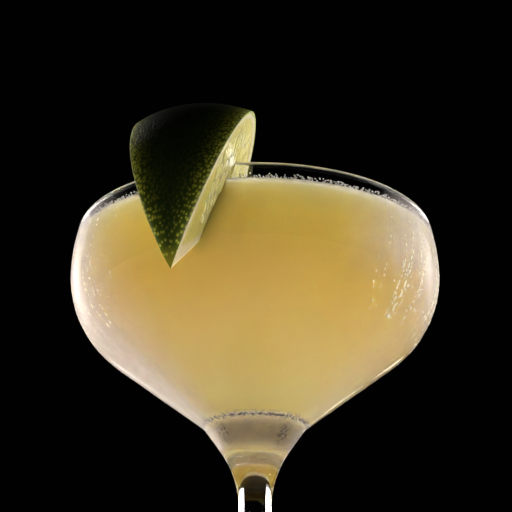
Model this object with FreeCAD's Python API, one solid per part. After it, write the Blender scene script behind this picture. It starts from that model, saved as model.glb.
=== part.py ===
"""Margarita served up: a stemmed coupe filled nearly to the brim, with a lime wedge on its rim.

The frame: +Z is up, the origin is the centre of the foot's resting plane, and -Y is the front,
where the wedge sits, a little to the left. Lengths are in millimetres, angles in degrees.
The three solids are the glass, the drink inside it and the wedge, whose slit takes the glass wall.
"""
import FreeCAD
import Part
import math
import os

# Glass: the bowl
TOTAL_HEIGHT = 142.0          # resting plane to the top of the lip
BOWL_RADIUS = 44.0            # outside, at the widest ring
WALL = 1.3                    # bowl wall, and the diameter of the rounded lip
WIDEST_BELOW_RIM = 11.2       # depth of the widest ring under the top of the lip
SHOULDER_RADIUS = 41.0        # arc that leans the wall in from the widest ring to the lip
BELLY_RADIUS = 24.4           # arc that turns the wall under the widest ring
CONE_ANGLE = 53.5             # lower bowl, measured from the vertical
BOWL_FLOOR_RADIUS = 11.9      # outside, at the crease where the bowl meets the neck
WELL_RADIUS = 17.0            # round bottom of the hollow

# Glass: the neck, the stem and the foot
CREASE_RADIUS = 5.0           # blend between the bowl and the neck
NECK_ANGLE = 35.5             # upper neck, measured from the vertical
NECK_RADIUS = 23.0            # arc that draws the neck down to the stem
STEM_TOP_RADIUS = 3.7
STEM_FOOT_RADIUS = 3.4
FOOT_FLARE_RADIUS = 11.0      # arc from the stem to the top of the foot
FOOT_SLOPE = 7.0              # top of the foot, measured from the horizontal
FOOT_RADIUS = 36.0
FOOT_EDGE = 2.4               # thickness of the rounded edge of the foot
FOOT_RING_WIDTH = 5.8         # flat ring that the glass rests on, inwards from the rounded edge
FOOT_HOLLOW = 1.6             # rise of the shallow dome under the foot

# Drink
FREEBOARD = 4.5               # top of the lip to the surface of the drink
DRINK_GAP = 0.12              # drink to glass, all over
DRINK_LIME_GAP = 0.15         # drink to the wedge that dips into it

# Lime wedge: a slice from end to end of a fruit, with its core edge along the local Y axis
LIME_RADIUS = 27.5
LIME_HALF_LENGTH = 26.8
LIME_END_POWER = 0.66         # 0.5 gives round ends, more draws them to a point
LIME_ANGLE = 51.3             # between the two cut faces
LIME_OUTLINE_STEPS = 16
SLIT_GAP = 0.15               # slit to the glass wall and to the lip

# Lime wedge: where it sits
SEAT_AZIMUTH = -14.5          # place on the rim, from the front towards +X
SEAT_ALONG = 4.8              # seat of the lip, from the middle of the core edge
SEAT_DEPTH = 13.6             # seat of the lip, from the core edge towards the peel
LIME_HEADING = -17.4          # core edge about Z, from straight in
LIME_PITCH = 37.5             # inner end of the core edge above the horizontal
LIME_ROLL = 3.5               # wedge about its core edge

# Worked out: the outer line of the glass, from the lip down
WIDEST_Z = TOTAL_HEIGHT - WIDEST_BELOW_RIM
SHOULDER_CENTRE = (BOWL_RADIUS - SHOULDER_RADIUS, WIDEST_Z)
BELLY_CENTRE = (BOWL_RADIUS - BELLY_RADIUS, WIDEST_Z)
LIP_ANGLE = math.degrees(
    math.asin((WIDEST_BELOW_RIM - WALL / 2) / (SHOULDER_RADIUS - WALL / 2))
)


def polar(centre, radius, angle):
    """The (r, z) point at an angle on a circle in the half plane of the outline."""
    a = math.radians(angle)
    return (centre[0] + radius * math.cos(a), centre[1] + radius * math.sin(a))


def vec(point):
    """An (r, z) point of an outline as a vector in the XZ plane."""
    return FreeCAD.Vector(point[0], 0, point[1])


def line(start, end):
    return Part.LineSegment(vec(start), vec(end)).toShape()


def arc(centre, radius, start, end):
    """An arc from one angle to another, in the order of travel."""
    middle = (start + end) / 2
    points = [vec(polar(centre, radius, a)) for a in (start, middle, end)]
    return Part.Arc(*points).toShape()


def turned(edges):
    """The solid that a closed outline sweeps in a full turn about Z."""
    face = Part.Face(Part.Wire(edges))
    return face.revolve(FreeCAD.Vector(0, 0, 0), FreeCAD.Vector(0, 0, 1), 360)


def cone_line_end(r, offset=0.0):
    """The point at radius r on the lower bowl's straight line, moved inwards by an offset."""
    tangent = polar(BELLY_CENTRE, BELLY_RADIUS - offset, -CONE_ANGLE)
    return (r, tangent[1] - (tangent[0] - r) / math.tan(math.radians(CONE_ANGLE)))


def well_centre(radius, offset):
    """Height on the axis of an arc of this radius that touches the offset bowl line."""
    apex = cone_line_end(0.0, offset)[1]
    return (0.0, apex + radius / math.sin(math.radians(CONE_ANGLE)))


def hollow_edges(inset, top_angle):
    """The inside of the bowl, from the shoulder arc at top_angle down to the axis, set in by inset."""
    offset = WALL + inset
    well = WELL_RADIUS - inset
    centre = well_centre(well, offset)
    belly_end = polar(BELLY_CENTRE, BELLY_RADIUS - offset, -CONE_ANGLE)
    return [
        arc(SHOULDER_CENTRE, SHOULDER_RADIUS - offset, top_angle, 0),
        arc(BELLY_CENTRE, BELLY_RADIUS - offset, 0, -CONE_ANGLE),
        line(belly_end, polar(centre, well, -CONE_ANGLE)),
        arc(centre, well, -CONE_ANGLE, -90),
    ]


def crease_edges(crease):
    """The blend at the crease: its arc, and the points where the bowl and the neck lines end."""
    half_turn = math.radians(CONE_ANGLE - NECK_ANGLE) / 2
    reach = CREASE_RADIUS * math.tan(half_turn)
    cone, neck = math.radians(CONE_ANGLE), math.radians(NECK_ANGLE)
    upper = (crease[0] + reach * math.sin(cone), crease[1] + reach * math.cos(cone))
    lower = (crease[0] - reach * math.sin(neck), crease[1] - reach * math.cos(neck))
    centre = (
        upper[0] + CREASE_RADIUS * math.cos(cone),
        upper[1] - CREASE_RADIUS * math.sin(cone),
    )
    return upper, arc(centre, CREASE_RADIUS, 180 - CONE_ANGLE, 180 - NECK_ANGLE), lower


def glass():
    """Bowl, neck, stem and foot, blown and drawn as one piece."""
    crease = cone_line_end(BOWL_FLOOR_RADIUS)
    cone_end, crease_arc, neck_start = crease_edges(crease)
    belly_end = polar(BELLY_CENTRE, BELLY_RADIUS, -CONE_ANGLE)

    neck_r = STEM_TOP_RADIUS + NECK_RADIUS * (1 - math.cos(math.radians(NECK_ANGLE)))
    neck_z = crease[1] - (crease[0] - neck_r) / math.tan(math.radians(NECK_ANGLE))
    neck_centre = (
        STEM_TOP_RADIUS + NECK_RADIUS,
        neck_z - NECK_RADIUS * math.sin(math.radians(NECK_ANGLE)),
    )

    edge_centre = (FOOT_RADIUS - FOOT_EDGE / 2, FOOT_EDGE / 2)
    edge_top = polar(edge_centre, FOOT_EDGE / 2, 90 - FOOT_SLOPE)
    slope = math.radians(FOOT_SLOPE)
    flare_r = STEM_FOOT_RADIUS + FOOT_FLARE_RADIUS * (1 - math.sin(slope))
    flare_z = edge_top[1] + (edge_top[0] - flare_r) * math.tan(slope)
    flare_centre = (
        STEM_FOOT_RADIUS + FOOT_FLARE_RADIUS,
        flare_z + FOOT_FLARE_RADIUS * math.cos(slope),
    )
    ring_radius = edge_centre[0] - FOOT_RING_WIDTH
    dome_radius = (ring_radius**2 + FOOT_HOLLOW**2) / (2 * FOOT_HOLLOW)
    dome_centre = (0.0, FOOT_HOLLOW - dome_radius)
    dome_edge = math.degrees(math.acos(ring_radius / dome_radius))

    lip_centre = polar(SHOULDER_CENTRE, SHOULDER_RADIUS - WALL / 2, LIP_ANGLE)
    hollow = hollow_edges(0.0, LIP_ANGLE)
    well_bottom = (0.0, well_centre(WELL_RADIUS, WALL)[1] - WELL_RADIUS)
    return turned(
        [
            line(well_bottom, (0.0, FOOT_HOLLOW)),
            arc(dome_centre, dome_radius, 90, dome_edge),
            line((ring_radius, 0.0), (edge_centre[0], 0.0)),
            arc(edge_centre, FOOT_EDGE / 2, -90, 90 - FOOT_SLOPE),
            line(edge_top, (flare_r, flare_z)),
            arc(flare_centre, FOOT_FLARE_RADIUS, 270 - FOOT_SLOPE, 180),
            line((STEM_FOOT_RADIUS, flare_centre[1]), (STEM_TOP_RADIUS, neck_centre[1])),
            arc(neck_centre, NECK_RADIUS, 180, 180 - NECK_ANGLE),
            line((neck_r, neck_z), neck_start),
            crease_arc,
            line(cone_end, belly_end),
            arc(BELLY_CENTRE, BELLY_RADIUS, -CONE_ANGLE, 0),
            arc(SHOULDER_CENTRE, SHOULDER_RADIUS, 0, LIP_ANGLE),
            arc(lip_centre, WALL / 2, LIP_ANGLE, LIP_ANGLE + 180),
        ]
        + hollow
    )


def drink(wedge_room):
    """The drink up to its surface, cut round the part of the wedge that dips into it."""
    surface_z = TOTAL_HEIGHT - FREEBOARD
    reach = SHOULDER_RADIUS - WALL - DRINK_GAP
    top_angle = math.degrees(math.asin((surface_z - WIDEST_Z) / reach))
    well = WELL_RADIUS - DRINK_GAP
    bottom = (0.0, well_centre(well, WALL + DRINK_GAP)[1] - well)
    surface_edge = polar(SHOULDER_CENTRE, reach, top_angle)
    body = turned(
        hollow_edges(DRINK_GAP, top_angle)
        + [line(bottom, (0.0, surface_z)), line((0.0, surface_z), surface_edge)]
    )
    return body.cut(wedge_room)


def wedge(grow):
    """The uncut wedge in its own frame: core edge on Y, peel towards +Z, enlarged all over by grow."""
    outline = []
    for step in range(LIME_OUTLINE_STEPS + 1):
        along = -math.cos(math.pi * step / LIME_OUTLINE_STEPS)
        radius = (LIME_RADIUS + grow) * max(1 - along * along, 0.0) ** LIME_END_POWER
        outline.append(FreeCAD.Vector(0, (LIME_HALF_LENGTH + grow) * along, radius))
    meridian = Part.BSplineCurve()
    meridian.interpolate(outline)
    core = Part.LineSegment(outline[-1], outline[0]).toShape()
    half = Part.Face(Part.Wire([meridian.toShape(), core]))
    origin, axis = FreeCAD.Vector(0, 0, 0), FreeCAD.Vector(0, 1, 0)
    extra = 2 * math.degrees(math.atan2(grow, LIME_RADIUS))
    half.rotate(origin, axis, -(LIME_ANGLE + extra) / 2)
    body = half.revolve(origin, axis, LIME_ANGLE + extra)
    body.translate(FreeCAD.Vector(0, 0, -grow))
    return body


def seated(body):
    """A wedge moved from its own frame to its place on the rim."""
    turn = FreeCAD.Rotation(FreeCAD.Vector(0, 0, 1), LIME_HEADING)
    turn = turn * FreeCAD.Rotation(FreeCAD.Vector(1, 0, 0), LIME_PITCH)
    turn = turn * FreeCAD.Rotation(FreeCAD.Vector(0, 1, 0), LIME_ROLL)
    lip_r = polar(SHOULDER_CENTRE, SHOULDER_RADIUS - WALL / 2, LIP_ANGLE)[0]
    azimuth = math.radians(SEAT_AZIMUTH)
    seat = FreeCAD.Vector(
        lip_r * math.sin(azimuth), -lip_r * math.cos(azimuth), TOTAL_HEIGHT
    )
    base = seat - turn.multVec(FreeCAD.Vector(0, SEAT_ALONG, SEAT_DEPTH))
    body.Placement = FreeCAD.Placement(base, turn).multiply(body.Placement)
    return body


def slit():
    """The glass wall with the slit's clearance round it, from the lip to the end of the belly."""
    outer, inner = SLIT_GAP, WALL + SLIT_GAP
    lip_centre = polar(SHOULDER_CENTRE, SHOULDER_RADIUS - WALL / 2, LIP_ANGLE)
    outer_end = polar(BELLY_CENTRE, BELLY_RADIUS + outer, -CONE_ANGLE)
    inner_end = polar(BELLY_CENTRE, BELLY_RADIUS - inner, -CONE_ANGLE)
    return turned(
        [
            arc(BELLY_CENTRE, BELLY_RADIUS + outer, -CONE_ANGLE, 0),
            arc(SHOULDER_CENTRE, SHOULDER_RADIUS + outer, 0, LIP_ANGLE),
            arc(lip_centre, WALL / 2 + SLIT_GAP, LIP_ANGLE, LIP_ANGLE + 180),
            arc(SHOULDER_CENTRE, SHOULDER_RADIUS - inner, LIP_ANGLE, 0),
            arc(BELLY_CENTRE, BELLY_RADIUS - inner, 0, -CONE_ANGLE),
            line(inner_end, outer_end),
        ]
    )


def main():
    os.makedirs("parts", exist_ok=True)
    solids = {
        "glass": glass(),
        "drink": drink(seated(wedge(DRINK_LIME_GAP))),
        "lime_wedge": seated(wedge(0.0)).cut(slit()),
    }
    for name, shape in solids.items():
        shape.exportStep(os.path.join("parts", name + ".step"))
        box = shape.BoundBox
        print(
            f"{name}: {len(shape.Solids)} solid, valid {shape.isValid()}, "
            f"{shape.Volume / 1000:.2f} cm3, x {box.XMin:.2f} {box.XMax:.2f}, "
            f"y {box.YMin:.2f} {box.YMax:.2f}, z {box.ZMin:.2f} {box.ZMax:.2f}"
        )


main()
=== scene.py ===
"""A margarita served up in a coupe, with condensation on the glass and a lime wedge on the rim.

Each operator makes or finishes one piece round the fixed frame of solids; the panel lists them in order.
Lengths are in metres. The glass stands on z = 0 and its axis is the Z axis; -Y is the front.
"""
import math

import bpy
import numpy as np
from bpy.props import FloatProperty, FloatVectorProperty, IntProperty, PointerProperty
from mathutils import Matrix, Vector, kdtree, noise
from mathutils.bvhtree import BVHTree


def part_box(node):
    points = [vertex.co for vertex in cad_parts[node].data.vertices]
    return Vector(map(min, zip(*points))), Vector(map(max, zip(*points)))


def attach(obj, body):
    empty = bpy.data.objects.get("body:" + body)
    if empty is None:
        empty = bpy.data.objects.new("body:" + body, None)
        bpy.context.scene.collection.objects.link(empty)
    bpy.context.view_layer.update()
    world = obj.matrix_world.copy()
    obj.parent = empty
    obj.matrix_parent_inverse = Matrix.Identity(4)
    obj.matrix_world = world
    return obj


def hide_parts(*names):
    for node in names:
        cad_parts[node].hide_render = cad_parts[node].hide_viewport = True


bl_info = {
    "name": "Margarita in a Coupe",
    "version": (1, 0, 0),
    "blender": (4, 5, 0),
    "location": "View3D > Sidebar > Margarita",
    "description": "Finishes a coupe glass, its drink, the condensation, the froth and the lime wedge",
    "category": "Object",
}

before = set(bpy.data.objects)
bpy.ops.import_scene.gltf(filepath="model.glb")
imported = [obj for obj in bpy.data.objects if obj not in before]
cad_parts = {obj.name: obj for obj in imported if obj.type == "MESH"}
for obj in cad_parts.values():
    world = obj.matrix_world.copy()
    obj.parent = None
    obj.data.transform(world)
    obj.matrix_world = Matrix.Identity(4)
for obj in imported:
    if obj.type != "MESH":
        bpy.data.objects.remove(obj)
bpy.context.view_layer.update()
MM = 0.001
DEGREE = math.radians(1)
AROUND = 256                # faces round the axis in the turned pieces
RIM_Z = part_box("glass")[1].z
BOWL_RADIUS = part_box("glass")[1].x
LEVEL_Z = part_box("drink")[1].z
WELL_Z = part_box("drink")[0].z


# ---------------------------------------------------------------- measuring the frame

def tree_of(node):
    """A search tree over the faces of one solid of the frame."""
    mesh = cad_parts[node].data
    corners = [vertex.co for vertex in mesh.vertices]
    return BVHTree.FromPolygons(corners, [polygon.vertices for polygon in mesh.polygons])


GLASS_TREE = tree_of("glass")
PROBE_TURN = 0.7            # where round the axis the wall is felt, away from any seam
PROBE = Vector((math.cos(PROBE_TURN), math.sin(PROBE_TURN), 0))


def smoothed(points, passes=3):
    """An outline with its inner points eased towards their neighbours."""
    points = np.array(points, float)
    for _ in range(passes):
        points[1:-1] = points[1:-1] / 2 + (points[:-2] + points[2:]) / 4
    return points


def outside_outline(low, high, count):
    """(r, z) points on the outside of the glass, evenly spaced in height."""
    points = []
    for z in np.linspace(low, high, count):
        hit = GLASS_TREE.ray_cast(PROBE * 2 * BOWL_RADIUS + Vector((0, 0, z)), -PROBE)[0]
        points.append((hit.dot(PROBE), z))
    return smoothed(points)


def inside_outline(reach, count):
    """(r, z) points inside the bowl, from the drink's surface down to the axis; reach goes into the wall."""
    centre = Vector((0, 0, LEVEL_Z))
    points = []
    for turn in np.linspace(0, math.pi / 2, count):
        way = PROBE * math.cos(turn) - Vector((0, 0, math.sin(turn)))
        hit, normal = GLASS_TREE.ray_cast(centre, way)[:2]
        point = hit - normal * reach
        points.append((point.dot(PROBE), point.z))
    points = smoothed(points)
    points[0][1] = LEVEL_Z
    points[-1][0] = 0
    return points


OUTSIDE = outside_outline(WELL_Z - 14 * MM, RIM_Z - 1.2 * MM, 160)


def outside_at(z):
    """Radius and outward direction (in r and z) of the outside of the glass at a height or at many."""
    step = 0.3 * MM
    heights = (z, z + step, z - step)
    radius, above, below = (np.interp(height, OUTSIDE[:, 1], OUTSIDE[:, 0]) for height in heights)
    slope = (above - below) / (2 * step)
    length = np.sqrt(1 + slope**2)
    return radius, 1 / length, -slope / length


def rising(values, start, width):
    """0 up to the start, rising to 1 over the width; a negative width turns it round."""
    return np.clip((values - start) / width, 0, 1)


def bell(values, centre, width, power=2):
    """1 at the centre, falling away on both sides; a higher power makes the top flatter."""
    return np.exp(-(((values - centre) / width) ** power))


def noise_at(points, often):
    """Smooth noise at each of the points; often is how quickly it changes."""
    return np.array([noise.noise(Vector(point) * often) for point in points])


class WedgeShape:
    """Size and place of the lime wedge, from its solid; its core runs along `along`, its peel faces `out`."""

    def __init__(self):
        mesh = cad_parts["lime_wedge"].data
        points = np.array([vertex.co for vertex in mesh.vertices])
        middle = points.mean(0)
        tips = [points[np.argmax(np.linalg.norm(points - middle, axis=1))]]
        tips.append(points[np.argmax(np.linalg.norm(points - tips[0], axis=1))])
        low, high = sorted(tips, key=lambda tip: tip[2])
        self.centre = (low + high) / 2
        self.half_length = np.linalg.norm(high - low) / 2
        self.along = (high - low) / (2 * self.half_length)
        from_core = points - self.centre
        from_core = from_core - np.outer(from_core @ self.along, self.along)
        distance = np.linalg.norm(from_core, axis=1)
        self.radius = distance.max()
        guess = from_core.mean(0)
        guess /= np.linalg.norm(guess)
        side = np.cross(self.along, guess)
        far = distance > self.radius / 3
        turns = np.arctan2(from_core[far] @ side, from_core[far] @ guess)
        middle_turn = (turns.max() + turns.min()) / 2
        self.half_angle = (turns.max() - turns.min()) / 2
        self.out = guess * math.cos(middle_turn) + side * math.sin(middle_turn)
        self.side = np.cross(self.along, self.out)

    def place(self, local):
        """Points in the frame, from points along (side, along, out)."""
        return self.centre + local @ np.stack([self.side, self.along, self.out])

    def local(self, points):
        """Points along (side, along, out), from points in the frame."""
        return (points - self.centre) @ np.stack([self.side, self.along, self.out]).T


WEDGE = WedgeShape()


# ---------------------------------------------------------------- settings

def length(name, default, description):
    return FloatProperty(name=name, default=default, description=description, unit="LENGTH", precision=5)


def colour(name, default, description):
    return FloatVectorProperty(
        name=name, default=default, description=description, subtype="COLOR", size=3, min=0, max=1
    )


def share(name, default, description):
    return FloatProperty(name=name, default=default, description=description, subtype="FACTOR", min=0, max=1)


def angle(name, degrees, description):
    return FloatProperty(name=name, default=math.radians(degrees), description=description, subtype="ANGLE")


def number(name, default, description):
    return IntProperty(name=name, default=default, description=description)


class CoupeSettings(bpy.types.PropertyGroup):
    """Finish of the glass itself."""

    tint: colour("Tint", (0.98, 0.99, 0.985), "Colour of the glass")
    polish: share("Roughness", 0.012, "Roughness of the polished surface")
    lip: share("Lip Roughness", 0.4, "Roughness of the ground lip")
    ripple_size: length("Ripple Size", 9 * MM, "Width of the slight waves in the blown wall")


class DrinkSettings(bpy.types.PropertyGroup):
    """Colour and cloudiness of the drink."""

    deep: colour("Deep Colour", (0.80, 0.585, 0.125), "Colour in the thick middle of the bowl")
    # Pale Colour paints light low in the bowl and towards the surface, and also colours the random lighter
    # clouds.
    pale: colour("Pale Colour", (0.84, 0.73, 0.32), "Colour low in the bowl and in the lighter clouds")
    # Painted shade just under the surface of the drink.
    brim_shade: colour("Brim", (0.60, 0.50, 0.26), "Colour of the drink just under its surface")
    # Painted shade at the bottom of the well.
    well_shade: colour("Depths", (0.46, 0.34, 0.04), "Colour of the drink at the bottom of the well")
    # Painted shade, tinted olive, where the wedge sits in the drink by the wall.
    shaded: colour("Shaded Colour", (0.60, 0.53, 0.09), "Colour where the wedge shows through the drink")
    scatter: length("Scatter", 50 * MM, "How far light spreads in the cloudy drink")
    shade_reach: length("Shade Reach", 2.2 * MM, "How far from the wedge the drink is shaded")
    reach: length("Reach", 0.35 * MM, "How far the drink goes into the wall, so that no gap shows")
    meniscus: length("Meniscus", 0.5 * MM, "Rise of the drink where it meets the wall")
    cloud_size: length("Cloud Size", 14 * MM, "Width of the lighter clouds")


class FrothSettings(bpy.types.PropertyGroup):
    """Fine froth where the drink meets the wall."""

    count: number("Bubbles", 4000, "Bubbles in the ring of froth")
    rafts: number("Rafts", 26, "Small groups of bubbles out on the surface")
    smallest: length("Smallest", 0.12 * MM, "Radius of the smallest bubbles")
    largest: length("Largest", 0.30 * MM, "Radius of the largest bubbles")
    height: length("Height", 2.2 * MM, "How far the froth climbs the wall")
    white: colour("White", (0.97, 0.95, 0.92), "Colour of most of the froth")
    grey: colour("Grey", (0.80, 0.76, 0.72), "Colour of the duller froth")


class CondensationSettings(bpy.types.PropertyGroup):
    """Mist and water drops on the outside of the cold bowl."""

    mist_colour: colour("Mist Colour", (0.92, 0.83, 0.79), "Colour of the fine mist")
    # Painted shade on the neck under the crease.
    shadowed: colour("Shadowed Neck", (0.115, 0.10, 0.125), "Colour of the damp glass under the crease")
    # Painted shade: drops on the neck shown as dark specks.
    speck: colour("Specks", (0.01, 0.008, 0.01), "Colour of the dark specks on the neck")
    # The pale tint of the larger drops paints bright glints on them.
    paler: colour("Glinting Water", (1.0, 0.96, 0.74), "Colour of the larger drops")
    mist: share("Mist", 0.46, "How much of the glass the fine mist covers at the sides")
    patches: FloatVectorProperty(
        name="Speckled Patches", size=4, default=(-2.35, -0.85, 1.1, 2.6),
        description="Turns of the speckled patches about the axis",
    )
    film: length("Film", 0.03 * MM, "How far the mist stands off the glass")
    beads: number("Beads", 4400, "Small beads of water")
    neck_beads: number("Neck Beads", 700, "Small beads in the crease and on the neck")
    bead_size: length("Bead Size", 0.12 * MM, "Typical radius of a bead")
    drops: number("Drops", 4400, "Larger drops, most of them in runs")
    bare_front: angle("Bare Front", 32, "Half of the front that has no drops")
    runs: number("Runs", 170, "Vertical runs of larger drops")
    drop_size: length("Drop Size", 0.16 * MM, "Typical radius of a larger drop")


class LimeSettings(bpy.types.PropertyGroup):
    """The lime wedge."""

    end_power: FloatProperty(name="End Power", default=0.66, description="Point of the ends: 0.5 is round")
    peel: colour("Peel", (0.004, 0.009, 0.0012), "Colour of the peel")
    # Lit Peel and the bright pores paint light on the peel near the cut faces.
    lit_peel: colour("Lit Peel", (0.080, 0.110, 0.005), "Colour of the peel near the cut faces")
    pore: colour("Pores", (1.0, 1.0, 0.12), "Colour of the pores in the peel")
    tip: colour("Tip", (0.16, 0.14, 0.009), "Colour of the peel at the ends of the fruit")
    pith: colour("Pith", (0.66, 0.60, 0.41), "Colour of the pith")
    flesh: colour("Flesh", (0.57, 0.52, 0.15), "Colour of the flesh between the juice sacs")
    sac: colour("Juice Sacs", (0.70, 0.64, 0.26), "Colour of the juice sacs")
    zest_colour: colour("Zest Colour", (0.30, 0.42, 0.07), "Colour of the green layer at the cut")
    dried: colour("Dried Edge", (0.30, 0.17, 0.05), "Colour of the brown line between flesh and pith")
    pore_spacing: length("Pore Spacing", 0.68 * MM, "Distance from one pore to the next")
    pore_depth: length("Pore Depth", 0.10 * MM, "Depth of a pore")
    # The painted light on the peel fades over this distance from the cut.
    glow_depth: length("Glow Depth", 2.2 * MM, "How far light reaches under the peel from the cut")
    zest: length("Zest", 0.5 * MM, "Thickness of the green layer")
    pith_side: length("Pith at the Side", 1.5 * MM, "Thickness of the pith half way along")
    pith_end: length("Pith at the Ends", 3.6 * MM, "Extra thickness of the pith at the ends")
    core: length("Core", 1.5 * MM, "Width of the white core along the inner edge")
    slit_gap: length("Slit Gap", 0.15 * MM, "Slit to the glass wall")


class StageSettings(bpy.types.PropertyGroup):
    """Floor, lights and camera."""

    floor: colour("Floor", (0.72, 0.71, 0.69), "Colour of the floor")
    floor_radius: length("Floor Radius", 1.6, "Radius of the floor")
    backdrop: colour("Backdrop", (0.0004, 0.0004, 0.0005), "Colour behind the object")
    distance: length("Camera Distance", 279.5 * MM, "Camera to the axis of the glass, along the floor")
    height: length("Camera Height", 24.7 * MM, "Camera above the floor")
    tilt: angle("Camera Tilt", 21.96, "How far the camera looks up")
    lens: FloatProperty(name="Lens", default=87.04, description="Focal length in mm on a 36 mm sensor")
    shift: FloatProperty(name="Shift", default=0.002, description="Sideways framing, in picture widths")


class MargaritaSettings(bpy.types.PropertyGroup):
    """All the settings, piece by piece."""

    coupe: PointerProperty(type=CoupeSettings)
    drink: PointerProperty(type=DrinkSettings)
    froth: PointerProperty(type=FrothSettings)
    condensation: PointerProperty(type=CondensationSettings)
    lime: PointerProperty(type=LimeSettings)
    stage: PointerProperty(type=StageSettings)


# ---------------------------------------------------------------- meshes

def new_piece(name, vertices, faces, materials, smooth=True):
    """A mesh object in the scene, built from arrays, with its materials in slots."""
    mesh = bpy.data.meshes.new(name)
    mesh.from_pydata([tuple(v) for v in vertices], [], [tuple(f) for f in faces])
    for material in materials:
        mesh.materials.append(material)
    if smooth:
        mesh.shade_smooth()
    mesh.update()
    piece = bpy.data.objects.new(name, mesh)
    bpy.context.scene.collection.objects.link(piece)
    return piece


def turned(outline, segments, ring=False):
    """Vertices and faces of an (r, z) outline turned about the axis; with ring, its end joins its start."""
    turns = np.arange(segments) * 2 * math.pi / segments
    vertices, rows = [], []
    for r, z in outline:
        if r < 1e-7:
            rows.append([len(vertices)] * segments)
            vertices.append((0, 0, z))
            continue
        rows.append(list(range(len(vertices), len(vertices) + segments)))
        vertices.extend(zip(r * np.cos(turns), r * np.sin(turns), np.full(segments, z)))
    if ring:
        rows.append(rows[0])
    faces = []
    for upper, lower in zip(rows, rows[1:]):
        for k in range(segments):
            n = (k + 1) % segments
            corners = [upper[k], lower[k], lower[n], upper[n]]
            corners = [c for i, c in enumerate(corners) if c not in corners[:i]]
            faces.append(corners)
    return vertices, faces


def ball(segments, bands):
    """A unit ball: its vertices and faces."""
    turns = np.linspace(0, math.pi, bands + 1)
    vertices, faces = turned([(math.sin(turn), math.cos(turn)) for turn in turns], segments)
    return np.array(vertices), faces


def dome(segments, bands):
    """A unit drop: a rounded cap on z = 0 with a flat underside a little below."""
    outline = [(0, 1)]
    for k in range(1, bands + 1):
        turn = math.pi / 2 * k / bands
        outline.append((math.sin(turn), math.cos(turn)))
    outline += [(0.96, -0.25), (0, -0.25)]
    vertices, faces = turned(outline, segments)
    return np.array(vertices), faces


def scattered(shape, centres, axes):
    """Copies of one shape, each at its centre and on its own three scaled axes, as one mesh."""
    vertices, faces = shape
    placed = centres[:, None, :] + np.einsum("vi,nij->nvj", vertices, axes)
    all_faces = []
    for copy in range(len(centres)):
        start = copy * len(vertices)
        all_faces.extend([start + corner for corner in face] for face in faces)
    return placed.reshape(-1, 3), all_faces


def joined(*parts):
    """Several sets of vertices and faces as one."""
    vertices, faces, start = [], [], 0
    for part_vertices, part_faces in parts:
        vertices.append(np.asarray(part_vertices))
        faces.extend([start + corner for corner in face] for face in part_faces)
        start += len(part_vertices)
    return np.concatenate(vertices), faces


# ---------------------------------------------------------------- materials

def add_node(tree, kind, settings=None, **inputs):
    """A node with its settings and inputs; an input is a value or a socket to link from."""
    made = tree.nodes.new(kind)
    for name, value in (settings or {}).items():
        setattr(made, name, value)
    for name, value in inputs.items():
        socket = made.inputs[int(name[1:])] if name[0] == "i" and name[1:].isdigit() else made.inputs[name]
        if isinstance(value, bpy.types.NodeSocket):
            tree.links.new(value, socket)
        else:
            socket.default_value = value
    return made


def rgba(value):
    return (*value[:3], 1.0)


def mixed(tree, factor, first, second):
    """A colour between two colours."""
    made = add_node(tree, "ShaderNodeMix", {"data_type": "RGBA"})
    for socket, value in ((made.inputs[0], factor), (made.inputs[6], first), (made.inputs[7], second)):
        if isinstance(value, bpy.types.NodeSocket):
            tree.links.new(value, socket)
        elif socket == made.inputs[0]:
            socket.default_value = value
        else:
            socket.default_value = rgba(value)
    return made.outputs[2]


def ranged(tree, value, low, high, to_low, to_high):
    """A value moved from one range to another, held at its ends."""
    made = add_node(tree, "ShaderNodeMapRange", i0=value, i1=low, i2=high, i3=to_low, i4=to_high)
    return made.outputs[0]


def calculated(tree, operation, first, second):
    return add_node(tree, "ShaderNodeMath", {"operation": operation}, i0=first, i1=second).outputs[0]


def bumped(tree, height, distance, strength=1.0):
    """A normal from a height that changes over the surface."""
    return add_node(tree, "ShaderNodeBump", Height=height, Distance=distance, Strength=strength).outputs[0]


def measured(tree, name):
    """A value that the mesh holds at each vertex."""
    return add_node(tree, "ShaderNodeAttribute", {"attribute_name": name}).outputs["Fac"]


def new_material(name, **constants):
    """A material with one Principled shader; constants are set on the shader's own sockets."""
    material = bpy.data.materials.new(name)
    material.use_nodes = True
    tree = material.node_tree
    tree.nodes.clear()
    shader = tree.nodes.new("ShaderNodeBsdfPrincipled")
    output = tree.nodes.new("ShaderNodeOutputMaterial")
    tree.links.new(shader.outputs[0], output.inputs["Surface"])
    for socket, value in constants.items():
        shader.inputs[socket.replace("_", " ")].default_value = value
    return material, tree, shader


def connect_surface(tree, shader, shade, grain, roughness, relief=None):
    """Connects a shader's colour, a range of roughness that follows the grain, and its relief."""
    tree.links.new(shade, shader.inputs["Base Color"])
    tree.links.new(ranged(tree, grain, 0, 1, *roughness), shader.inputs["Roughness"])
    if relief:
        tree.links.new(bumped(tree, *relief), shader.inputs["Normal"])


def scaled(shade, factor):
    return [factor * part for part in shade]


def object_height(tree):
    """The height of the shaded point in the frame."""
    place = add_node(tree, "ShaderNodeTexCoord").outputs["Object"]
    return add_node(tree, "ShaderNodeSeparateXYZ", Vector=place).outputs["Z"]


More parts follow.
